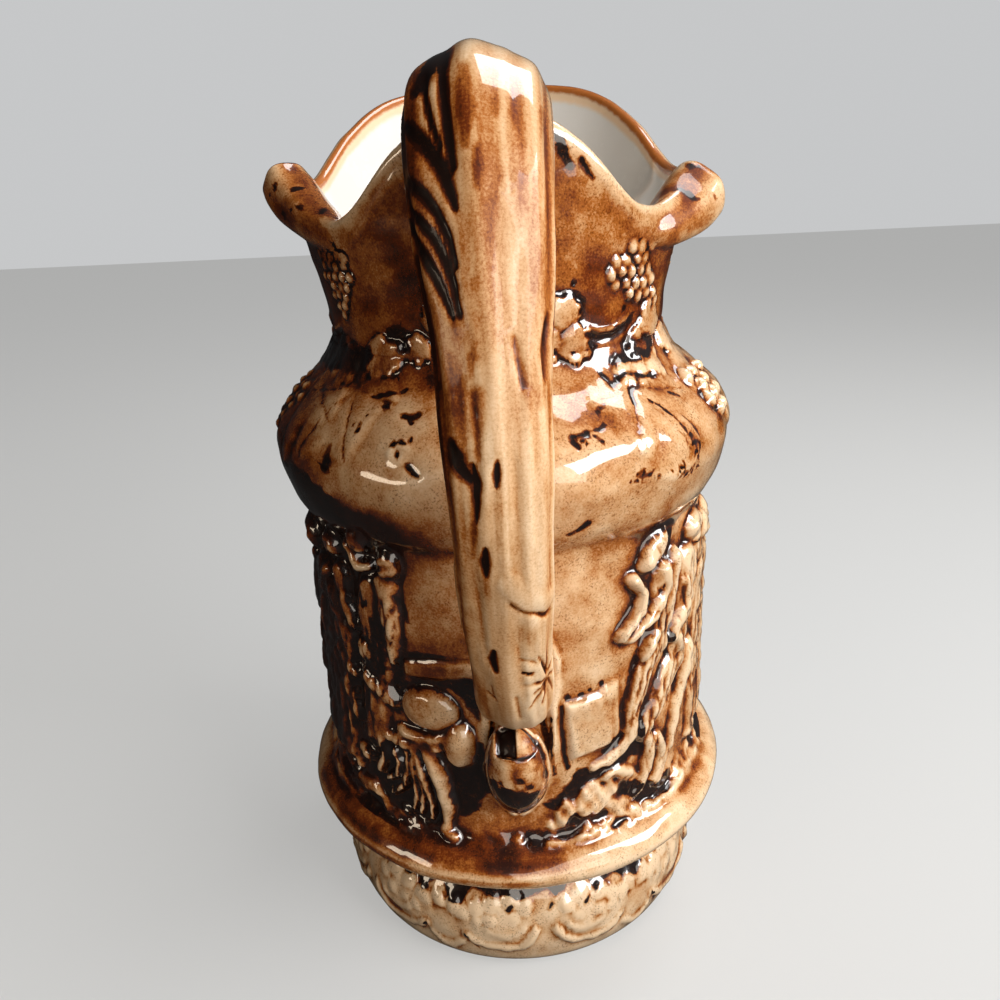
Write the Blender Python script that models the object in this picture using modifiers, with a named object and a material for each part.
"""Majolica relief pitcher: one slip-cast and glazed earthenware piece.

A turned vessel with a flange and foot carries a relief of figures round its body, vine leaves and grapes
on its shoulder and neck, two cut-branch stubs at the sides of its mouth, and a vine-trunk handle.
The origin is the middle of the foot's underside, the handle stands toward -Y and the spout toward +Y.
"""
import math

import bmesh
import bpy
import numpy as np

MM = 0.001

# Driving dimensions, in millimetres
TOTAL_HEIGHT = 275.0      # foot to the top of the spout
WALL = 4.6                # thickness of the cast wall
FLOOR = 5.5               # thickness of the floor
FOOT_RADIUS = 64.2        # widest part of the foot
FOOT_TOP = 38.5           # height of the groove between foot and flange
GROOVE = 6.8              # depth of that groove
FLANGE_RADIUS = 74.0
FLANGE_HEIGHT = 49.0      # height of the flange's widest line
BODY_RADIUS = 63.3        # ground of the relief
BODY_BOTTOM = 58.0
BODY_TOP = 151.0
SHOULDER_RADIUS = 70.8
SHOULDER_HEIGHT = 171.0
NECK_RADIUS = 50.0
NECK_HEIGHT = 201.0
LIP = 2.3                 # radius of the rounded lip

# Repeats of the relief
LEAVES = 8
SCROLLS = 12
GROUND_STONES = 30

# Resolution of the turned form before its faces are thinned out
COLUMNS = 240
ROW_STEP = 1.5            # spacing of the outer rows
INNER_STEP = 7.0          # spacing of the inner rows
FACE_SHARE = 0.0775       # share of faces kept, since the plain stretches need few

# Rim of the mouth: direction round the axis in degrees (0 is +X, -90 the handle), height and radius
RIM = [(-90, 262.0, 51.5), (-64, 252.0, 52.0), (-44, 237.0, 53.5), (-22, 239.0, 56.5), (0, 243.5, 59.0),
       (20, 247.0, 60.5), (40, 260.0, 64.5), (60, 271.0, 71.5), (90, 275.0, 77.5)]


def blend(x, low, high):
    """Smooth step from 0 at low to 1 at high."""
    t = np.clip((x - low) / (high - low), 0.0, 1.0)
    return t * t * (3.0 - 2.0 * t)


def fillet(points, radius, steps=3):
    """Polyline through points, with each inner corner rounded by a short quadratic curve."""
    out = [points[0]]
    for before, corner, after in zip(points, points[1:], points[2:]):
        a, b, c = (np.array(p, float) for p in (before, corner, after))
        into = (a - b) * min(radius / np.linalg.norm(a - b), 0.5)
        away = (c - b) * min(radius / np.linalg.norm(c - b), 0.5)
        for k in range(steps + 1):
            t = k / steps
            out.append(tuple(b + into * (1 - t) ** 2 + away * t * t))
    out.append(points[-1])
    return out


def even(points, step):
    """Points at an even spacing along a polyline."""
    points = np.array(points, float)
    length = np.concatenate([[0.0], np.cumsum(np.hypot(*np.diff(points, axis=0).T))])
    count = max(2, int(round(length[-1] / step)) + 1)
    at = np.linspace(0.0, length[-1], count)
    return np.column_stack([np.interp(at, length, points[:, i]) for i in range(2)])


def outer_line():
    """Outer side of the vessel from foot to the top of the neck, as radius and height."""
    corners = [
        (FOOT_RADIUS - 8.0, 0.0),
        (FOOT_RADIUS - 2.5, 4.0),
        (FOOT_RADIUS, 16.0),
        (FOOT_RADIUS - 0.6, 28.0),
        (FOOT_RADIUS - GROOVE, FOOT_TOP - 2.0),
        (FOOT_RADIUS - GROOVE, FOOT_TOP + 2.5),
        (FLANGE_RADIUS - 3.5, FLANGE_HEIGHT - 5.0),
        (FLANGE_RADIUS, FLANGE_HEIGHT - 1.5),
        (FLANGE_RADIUS - 0.3, FLANGE_HEIGHT + 2.0),
        (FLANGE_RADIUS - 4.0, FLANGE_HEIGHT + 5.5),
        (BODY_RADIUS + 0.6, BODY_BOTTOM - 1.0),
        (BODY_RADIUS, BODY_BOTTOM + 6.0),
        (BODY_RADIUS, BODY_TOP),
        (BODY_RADIUS + 3.5, BODY_TOP + 4.5),
        (SHOULDER_RADIUS - 1.6, SHOULDER_HEIGHT - 9.5),
        (SHOULDER_RADIUS + 0.7, SHOULDER_HEIGHT),
        (SHOULDER_RADIUS - 1.6, SHOULDER_HEIGHT + 8.5),
        (SHOULDER_RADIUS - 10.0, NECK_HEIGHT - 13.0),
        (NECK_RADIUS + 3.0, NECK_HEIGHT - 6.5),
        (NECK_RADIUS, NECK_HEIGHT),
    ]
    return fillet(corners, 6.0)


def inner_line():
    """Inner side from the middle of the floor up to the neck."""
    corners = [
        (0.0, FLOOR),
        (FOOT_RADIUS - 14.0, FLOOR),
        (FOOT_RADIUS - WALL - 1.5, 12.0),
        (FOOT_RADIUS - WALL - 1.0, 27.0),
        (FOOT_RADIUS - GROOVE - WALL, FOOT_TOP),
        (BODY_RADIUS - WALL, FLANGE_HEIGHT),
        (BODY_RADIUS - WALL, BODY_TOP + 1.0),
        (SHOULDER_RADIUS - WALL + 0.4, SHOULDER_HEIGHT - 1.0),
        (SHOULDER_RADIUS - 13.0, NECK_HEIGHT - 17.0),
        (NECK_RADIUS - WALL, NECK_HEIGHT - 5.0),
        (NECK_RADIUS - WALL, NECK_HEIGHT),
    ]
    return fillet(corners, 5.0)


def rim_at(phi):
    """Height and radius of the rim in each direction, the same on both sides of the handle."""
    side = np.degrees(np.arctan2(np.sin(phi), np.abs(np.cos(phi))))
    keys = np.array(RIM)
    slope = np.gradient(keys[:, 1:], keys[:, 0], axis=0)
    slope[[0, -1]] = 0.0
    k = np.clip(np.searchsorted(keys[:, 0], side) - 1, 0, len(keys) - 2)
    span = (keys[k + 1, 0] - keys[k, 0])[..., None]
    t = (side - keys[k, 0])[..., None] / span
    start = (1 + 2 * t) * (1 - t) ** 2 * keys[k, 1:] + t * (1 - t) ** 2 * span * slope[k]
    end = t * t * (3 - 2 * t) * keys[k + 1, 1:] - t * t * (1 - t) * span * slope[k + 1]
    height, radius = np.moveaxis(start + end, -1, 0)
    return height, radius


def turned_vessel():
    """Closed wall of the vessel, turned from one line that runs up the inside and down the outside."""
    lip_height = TOTAL_HEIGHT - LIP
    arc = [(NECK_RADIUS - LIP + LIP * math.cos(a), lip_height + LIP * math.sin(a))
           for a in np.linspace(math.pi, 0.0, 7)]
    inside = even(inner_line() + [arc[0]], INNER_STEP)
    outside = even([arc[-1]] + outer_line()[::-1], ROW_STEP)
    line = [*inside[:-1], *arc, *outside[1:], (0.0, 0.0)]

    mesh = bpy.data.meshes.new("vessel_line")
    mesh.from_pydata([(r * MM, 0.0, z * MM) for r, z in line], [(i, i + 1) for i in range(len(line) - 1)], [])
    turning = bpy.data.objects.new("vessel_line", mesh)
    screw = turning.modifiers.new("turn", "SCREW")
    screw.steps = screw.render_steps = COLUMNS
    screw.use_merge_vertices = False
    return turning, np.array(line), len(inside) + len(arc) // 2 - 1


class Relief:
    """Height of the moulded relief over a grid of directions and distances up the wall."""

    def __init__(self, phi, up, radius):
        self.phi, self.up, self.radius = phi, up, radius
        self.height = np.zeros_like(phi)

    def plane(self, at):
        """Millimetres across and up from a place given as direction in degrees and distance up."""
        turn = (self.phi - math.radians(at[0]) + math.pi) % (2 * math.pi) - math.pi
        return turn * self.radius, self.up - at[1]

    def raise_to(self, height):
        self.height = np.maximum(self.height, height)

    def limb(self, start, end, start_width, end_width, height):
        """A tapered limb with a rounded section, between two places."""
        across, up = self.plane(start)
        far = (end[0] - start[0]) * math.radians(1.0) * BODY_RADIUS, end[1] - start[1]
        t = np.clip((across * far[0] + up * far[1]) / (far[0] ** 2 + far[1] ** 2), 0.0, 1.0)
        width = start_width + (end_width - start_width) * t
        apart = np.hypot(across - far[0] * t, up - far[1] * t) / width
        self.raise_to(height * dome(apart))

    def mound(self, at, across_size, up_size, height, lean=0.0):
        """An oval mound, leaning by an angle in degrees."""
        across, up = self.plane(at)
        c, s = math.cos(math.radians(lean)), math.sin(math.radians(lean))
        self.raise_to(height * dome(np.hypot((across * c + up * s) / across_size,
                                             (up * c - across * s) / up_size)))

    def block(self, at, across_size, up_size, height, lean=0.0):
        """A flat-topped block or board with eased edges."""
        across, up = self.plane(at)
        c, s = math.cos(math.radians(lean)), math.sin(math.radians(lean))
        inside = np.minimum(across_size / 2 - np.abs(across * c + up * s),
                            up_size / 2 - np.abs(up * c - across * s))
        self.raise_to(height * blend(inside, -0.4, 1.8))

    def leaf(self, at, size, lean, height):
        """A five-lobed vine leaf, its stalk at the given place and its middle lobe hanging down."""
        across, up = self.plane(at)
        for turn, reach, breadth in LEAF_LOBES:
            c, s = math.cos(math.radians(turn + lean)), math.sin(math.radians(turn + lean))
            along, beside = (across * s - up * c) / (reach * size), (across * c + up * s) / (breadth * size)
            apart = np.hypot(2.0 * along - 0.9, beside * (1.35 - 0.5 * blend(along, 0.0, 0.6)))
            sunk = 0.45 * blend(1.1 - np.abs(beside) * breadth * size, 0.0, 1.0) * blend(along, 0.02, 0.1)
            self.raise_to(height * (1.0 - blend(apart, 0.72, 1.08)) * (1.0 - sunk))

    def bunch(self, at, rows, berry, height):
        """A hanging bunch of grapes that narrows to a point."""
        for row in range(rows):
            count = max(1, round((rows - row) * 0.8))
            for k in range(count):
                sideways = (k - (count - 1) / 2) * berry * 1.8 / (BODY_RADIUS * math.radians(1.0))
                self.mound((at[0] + sideways, at[1] - row * berry * 1.6), berry, berry, height)


# Lobes of a vine leaf: direction from the middle lobe in degrees, length and half breadth
LEAF_LOBES = [(0, 1.0, 0.27), (-48, 0.86, 0.24), (48, 0.86, 0.24), (-100, 0.58, 0.21), (100, 0.58, 0.21)]

# Poses of the figures, as parts of their height: across and up for each joint
POSES = {
    "leaning": {"neck": (0.02, 0.82), "head": (-0.05, 0.93), "hip": (0.04, 0.50),
                "knees": ((-0.10, 0.28), (0.08, 0.27)), "feet": ((-0.12, 0.04), (0.07, 0.03)),
                "elbows": ((-0.14, 0.62), (0.16, 0.64)), "hands": ((-0.09, 0.83), (0.13, 0.46))},
    "calling": {"neck": (0.00, 0.82), "head": (0.02, 0.93), "hip": (-0.02, 0.51),
                "knees": ((-0.09, 0.28), (0.07, 0.28)), "feet": ((-0.13, 0.04), (0.11, 0.04)),
                "elbows": ((-0.18, 0.78), (0.17, 0.66)), "hands": ((-0.17, 0.98), (0.11, 0.50))},
    "carrying": {"neck": (0.03, 0.81), "head": (0.06, 0.92), "hip": (0.00, 0.50),
                 "knees": ((-0.11, 0.27), (0.10, 0.28)), "feet": ((-0.18, 0.05), (0.12, 0.03)),
                 "elbows": ((-0.12, 0.62), (0.19, 0.78)), "hands": ((0.04, 0.54), (0.14, 0.97))},
    "stooping": {"neck": (-0.16, 0.66), "head": (-0.26, 0.71), "hip": (0.06, 0.50),
                 "knees": ((-0.03, 0.27), (0.15, 0.27)), "feet": ((-0.02, 0.04), (0.12, 0.03)),
                 "elbows": ((-0.24, 0.50), (-0.08, 0.50)), "hands": ((-0.30, 0.36), (-0.18, 0.34))},
}

# The relief's figures: direction, height of the feet, standing height, pose, and side that they face
FIGURES = [(-52, 65, 84, "leaning", 1), (-33, 60, 90, "calling", -1), (-12, 60, 90, "carrying", 1),
           (14, 60, 88, "stooping", -1), (37, 60, 90, "calling", 1), (62, 60, 88, "carrying", -1),
           (90, 62, 88, "leaning", -1), (116, 60, 90, "calling", 1), (142, 60, 90, "carrying", 1),
           (166, 60, 90, "calling", -1), (188, 60, 88, "stooping", 1), (209, 60, 92, "leaning", 1),
           (230, 60, 92, "calling", -1), (247, 58, 74, "stooping", 1)]


def dome(apart):
    """Rounded swell that is 1 in the middle and 0 one size away."""
    return np.clip(1.0 - apart**2, 0.0, 1.0) ** 0.75


def figure(relief, at, foot, tall, pose, facing):
    """A standing figure: legs, tunic, body, arms and head."""
    def place(joint):
        return at + facing * joint[0] * tall / (BODY_RADIUS * math.radians(1.0)), foot + joint[1] * tall

    joints = POSES[pose]
    neck, hip, head = place(joints["neck"]), place(joints["hip"]), place(joints["head"])
    for side in (0, 1):
        knee, toe = place(joints["knees"][side]), place(joints["feet"][side])
        elbow, hand = place(joints["elbows"][side]), place(joints["hands"][side])
        relief.limb(hip, knee, 0.072 * tall, 0.052 * tall, 3.4)
        relief.limb(knee, toe, 0.050 * tall, 0.034 * tall, 3.0)
        relief.limb(neck, elbow, 0.048 * tall, 0.040 * tall, 4.0)
        relief.limb(elbow, hand, 0.040 * tall, 0.032 * tall, 4.0)
    relief.limb(neck, hip, 0.098 * tall, 0.090 * tall, 3.8)
    relief.mound(head, 0.058 * tall, 0.070 * tall, 4.6)


def carve(relief, height):
    """Everything that stands out from the turned wall."""
    for row in FIGURES:
        figure(relief, *row)
    # Stone block, board and barrel on either side of the handle
    relief.block((-69.5, 94.0), 15.0, 20.0, 2.6, lean=4.0)
    relief.block((-109.5, 115.5), 20.0, 6.0, 2.6, lean=4.0)
    relief.mound((-111.5, 98.0), 8.5, 9.0, 4.8)
    # Rough ground under the figures
    for k in range(GROUND_STONES):
        relief.mound((360.0 / GROUND_STONES * k, 57.5 + 4.0 * math.sin(2.4 * k) ** 2), 8.5,
                     5.0 + 3.0 * math.sin(1.7 * k) ** 2, 2.6, lean=30.0 * math.sin(3.1 * k))
    # Leaves and grapes of the shoulder and neck
    for k in range(LEAVES):
        turn = -90.0 + 360.0 / LEAVES * (k + 0.5)
        relief.leaf((turn, 203.0), 34.0, 22.0 * math.sin(2.2 * k + 0.6), 2.6)
        relief.leaf((turn - 18.0, 207.0), 17.0, 170.0, 2.2)
    for turn in (-14.0, 56.0, 124.0, 194.0):
        relief.bunch((turn, 194.0), 4, 3.9, 3.4)
    for turn in (-40.0, 40.0, 140.0, 220.0):
        relief.bunch((turn, 240.0), 4, 3.6, 3.0)
    # Scrolls round the foot
    for k in range(SCROLLS):
        relief.mound((360.0 / SCROLLS * k - 96.0, 19.0), 12.0, 8.5, 1.8)
    relief.height *= blend(height, 3.0, 9.0)


def shape_mouth(phi, radius, height):
    """Lift and flare the top of the turned wall to meet the rim."""
    rim_height, rim_radius = rim_at(phi)
    t = np.clip((height - NECK_HEIGHT) / (TOTAL_HEIGHT - LIP - NECK_HEIGHT), 0.0, 1.0)
    return radius + (rim_radius - NECK_RADIUS) * t**1.7, height + (rim_height - TOTAL_HEIGHT) * t


def evaluated_mesh(made):
    """The mesh that an object's modifiers or bevel give, and the object itself removed."""
    scene.collection.objects.link(made)
    mesh = bpy.data.meshes.new_from_object(made.evaluated_get(bpy.context.evaluated_depsgraph_get()))
    bpy.data.objects.remove(made)
    return mesh


def close_up(mesh):
    """Weld points that coincide and turn the faces outward."""
    work = bmesh.new()
    work.from_mesh(mesh)
    bmesh.ops.remove_doubles(work, verts=work.verts, dist=1e-6)
    bmesh.ops.recalc_face_normals(work, faces=work.faces)
    work.to_mesh(mesh)
    work.free()


def vessel_mesh():
    """The hollow vessel with its relief, as one closed mesh of even rows."""
    turning, line, crest = turned_vessel()
    mesh = evaluated_mesh(turning)
    places = np.empty(len(mesh.vertices) * 3)
    mesh.vertices.foreach_get("co", places)
    places = places.reshape(COLUMNS, len(line), 3)
    phi = np.arctan2(places[:, 1, 1], places[:, 1, 0])[:, None] + np.zeros(len(line))
    radius, height = shape_mouth(phi, line[:, 0], line[:, 1])
    places = np.stack([radius * np.cos(phi), radius * np.sin(phi), height], -1)

    along = np.gradient(places, axis=1)
    around = np.roll(places, -1, axis=0) - np.roll(places, 1, axis=0)
    normal = np.cross(along, around)
    normal /= np.maximum(np.linalg.norm(normal, axis=-1, keepdims=True), 1e-9)

    # Distance up the wall equals the height on the foot and the straight body, and goes on round the shoulder
    def row_at(place):
        return np.argmin(np.hypot(line[:, 0] - place[0], line[:, 1] - place[1]))

    down = np.concatenate([[0.0], np.cumsum(np.hypot(*np.diff(line, axis=0).T))])
    up = BODY_TOP + down[row_at((BODY_RADIUS, BODY_TOP))] - down
    up = np.where(height > NECK_HEIGHT, up[row_at((NECK_RADIUS, NECK_HEIGHT))] + height - NECK_HEIGHT, up)
    flange = row_at((FLANGE_RADIUS, FLANGE_HEIGHT))
    up[:, flange:] = height[:, flange:]
    relief = Relief(phi, up, np.maximum(radius, 1.0))
    carve(relief, height)
    rim_height, _ = rim_at(phi)
    relief.height *= 1.0 - blend(height, rim_height - 12.0, rim_height - 7.0)
    relief.height[:, :crest + 4] = 0.0
    places += normal * relief.height[..., None]
    mesh.vertices.foreach_set("co", (places * MM).ravel())
    close_up(mesh)
    return mesh


# Vine-trunk handle along its middle: distance out from the axis, height, half width, and sideways shift
HANDLE = [(48.2, 248.0, 12.6, 0.0), (57.0, 252.0, 13.4, -0.6), (67.0, 257.2, 14.2, -1.0),
          (75.5, 254.5, 14.6, -1.4), (83.5, 243.0, 14.3, -1.2), (91.0, 224.0, 12.4, -0.6),
          (97.3, 205.0, 10.8, -0.1), (100.6, 185.5, 10.2, 0.2), (97.0, 163.0, 9.8, 0.2),
          (86.2, 132.0, 9.6, 0.8), (79.5, 119.5, 9.3, 1.2), (70.5, 112.5, 8.6, 1.2),
          (60.9, 110.0, 7.6, 0.8)]
FLATNESS = 0.9            # the handle's thickness as a share of its width
STUB = [(51.4, -7.0, 223.0, 2.2), (54.8, -6.5, 232.0, 5.6), (58.6, -5.0, 241.5, 6.2)]
STUB_UNEVEN = 3.0         # the left stub stands this much higher than the right one
KNOB_PLACE = (0.6, -68.5, 88.0)
KNOB_RADII = (9.4, 9.3, 16.0)
KNOB_LEAN = 1.5           # how far the knob's upper end leans out from its middle


def smooth_path(points, steps):
    """Points on a smooth curve through the given ones, by Catmull-Rom."""
    points = np.array(points, float)
    ends = np.vstack([2 * points[0] - points[1], points, 2 * points[-1] - points[-2]])
    out = []
    for before, start, end, after in zip(ends, ends[1:], ends[2:], ends[3:]):
        for t in np.arange(steps) / steps:
            out.append(0.5 * (2 * start + (end - before) * t + (2 * before - 5 * start + 4 * end - after) * t * t
                              + (3 * start - before - 3 * end + after) * t**3))
    return np.array(out + [points[-1]])


def bevelled_path(name, places, widths):
    """Round tube through places, with a half width at each."""
    curve = bpy.data.curves.new(name, "CURVE")
    curve.dimensions = "3D"
    curve.bevel_depth = MM
    curve.bevel_resolution = 4
    curve.use_fill_caps = True
    spline = curve.splines.new("POLY")
    spline.points.add(len(places) - 1)
    for point, place, width in zip(spline.points, places, widths):
        point.co = (*(np.array(place) * MM), 1.0)
        point.radius = width
    return evaluated_mesh(bpy.data.objects.new(name, curve))


def handle_mesh():
    """The handle, with long grain ridges raised on its free part."""
    path = smooth_path(HANDLE, 4)
    mesh = bevelled_path("handle", [(shift, -out, height) for out, height, _, shift in path], path[:, 2])
    for vert in mesh.vertices:
        x, y, z = vert.co / MM
        near = path[np.argmin(np.hypot(path[:, 0] + y, path[:, 1] - z))]
        turn = math.atan2(-y - near[0], x - near[3])
        ease = float(blend(-y, 62.0, 74.0))
        grain = 1.0 + ease * (0.03 * math.cos(7 * turn) + 0.03 * math.cos(3 * turn + 0.05 * z))
        flat = 1.0 - ease * (1.0 - FLATNESS)
        vert.co = ((near[3] + (x - near[3]) * grain) * MM, -(near[0] + (-y - near[0]) * grain * flat) * MM,
                   (near[1] + (z - near[1]) * grain * flat) * MM)
    close_up(mesh)
    return mesh


def stub_mesh(side):
    """Short stub of a cut branch that stands up and out from the side of the rim."""
    path = smooth_path(STUB, 3)
    tip = path[-1]
    onward = (path[-1] - path[-2])[:3]
    onward /= np.linalg.norm(onward)
    rounded = [np.append(tip[:3] + onward * tip[3] * math.sin(a), tip[3] * math.cos(a)) for a in (0.5, 0.9, 1.25)]
    path = np.vstack([path, rounded])
    extra = STUB_UNEVEN if side < 0 else 0.0
    mesh = bevelled_path("stub", [(side * x, y, z + extra) for x, y, z, _ in path], path[:, 3])
    close_up(mesh)
    return mesh


def knob_mesh():
    """Rounded stub of a cut branch on the wall just under the handle's end."""
    mesh = bpy.data.meshes.new("knob")
    work = bmesh.new()
    bmesh.ops.create_uvsphere(work, u_segments=20, v_segments=12, radius=1.0)
    for vert in work.verts:
        place = np.array(vert.co) * KNOB_RADII + KNOB_PLACE
        place[1] -= KNOB_LEAN * vert.co.z
        vert.co = place * MM
    work.to_mesh(mesh)
    work.free()
    return mesh


def glaze():
    material = bpy.data.materials.new("honey_brown_glaze")
    material.use_nodes = True
    shader = material.node_tree.nodes["Principled BSDF"]
    shader.inputs["Base Color"].default_value = (0.45, 0.24, 0.10, 1.0)
    shader.inputs["Roughness"].default_value = 0.12
    shader.inputs["Metallic"].default_value = 0.0
    return material


def join(name, mesh):
    """Fuse a shape to the pitcher."""
    form = bpy.data.objects.new(name, mesh)
    form.hide_render = True
    form.display_type = "WIRE"
    shapers.objects.link(form)
    union = pitcher.modifiers.new(name, "BOOLEAN")
    union.operation = "UNION"
    union.solver = "EXACT"
    union.object = form


for old in list(bpy.data.objects):
    bpy.data.objects.remove(old)
scene = bpy.context.scene
parts = bpy.data.collections.new("relief_pitcher")
shapers = bpy.data.collections.new("shapers")
scene.collection.children.link(parts)
scene.collection.children.link(shapers)

pitcher = bpy.data.objects.new("pitcher", vessel_mesh())
pitcher.data.materials.clear()
pitcher.data.materials.append(glaze())
parts.objects.link(pitcher)
join("handle_form", handle_mesh())
join("knob_form", knob_mesh())
join("stub_form_right", stub_mesh(1))
join("stub_form_left", stub_mesh(-1))

thin = pitcher.modifiers.new("thin_out_faces", "DECIMATE")
thin.ratio = FACE_SHARE
thin.use_collapse_triangulate = True

pitcher.data.shade_smooth()
pitcher.data.set_sharp_from_angle(angle=math.radians(50.0))
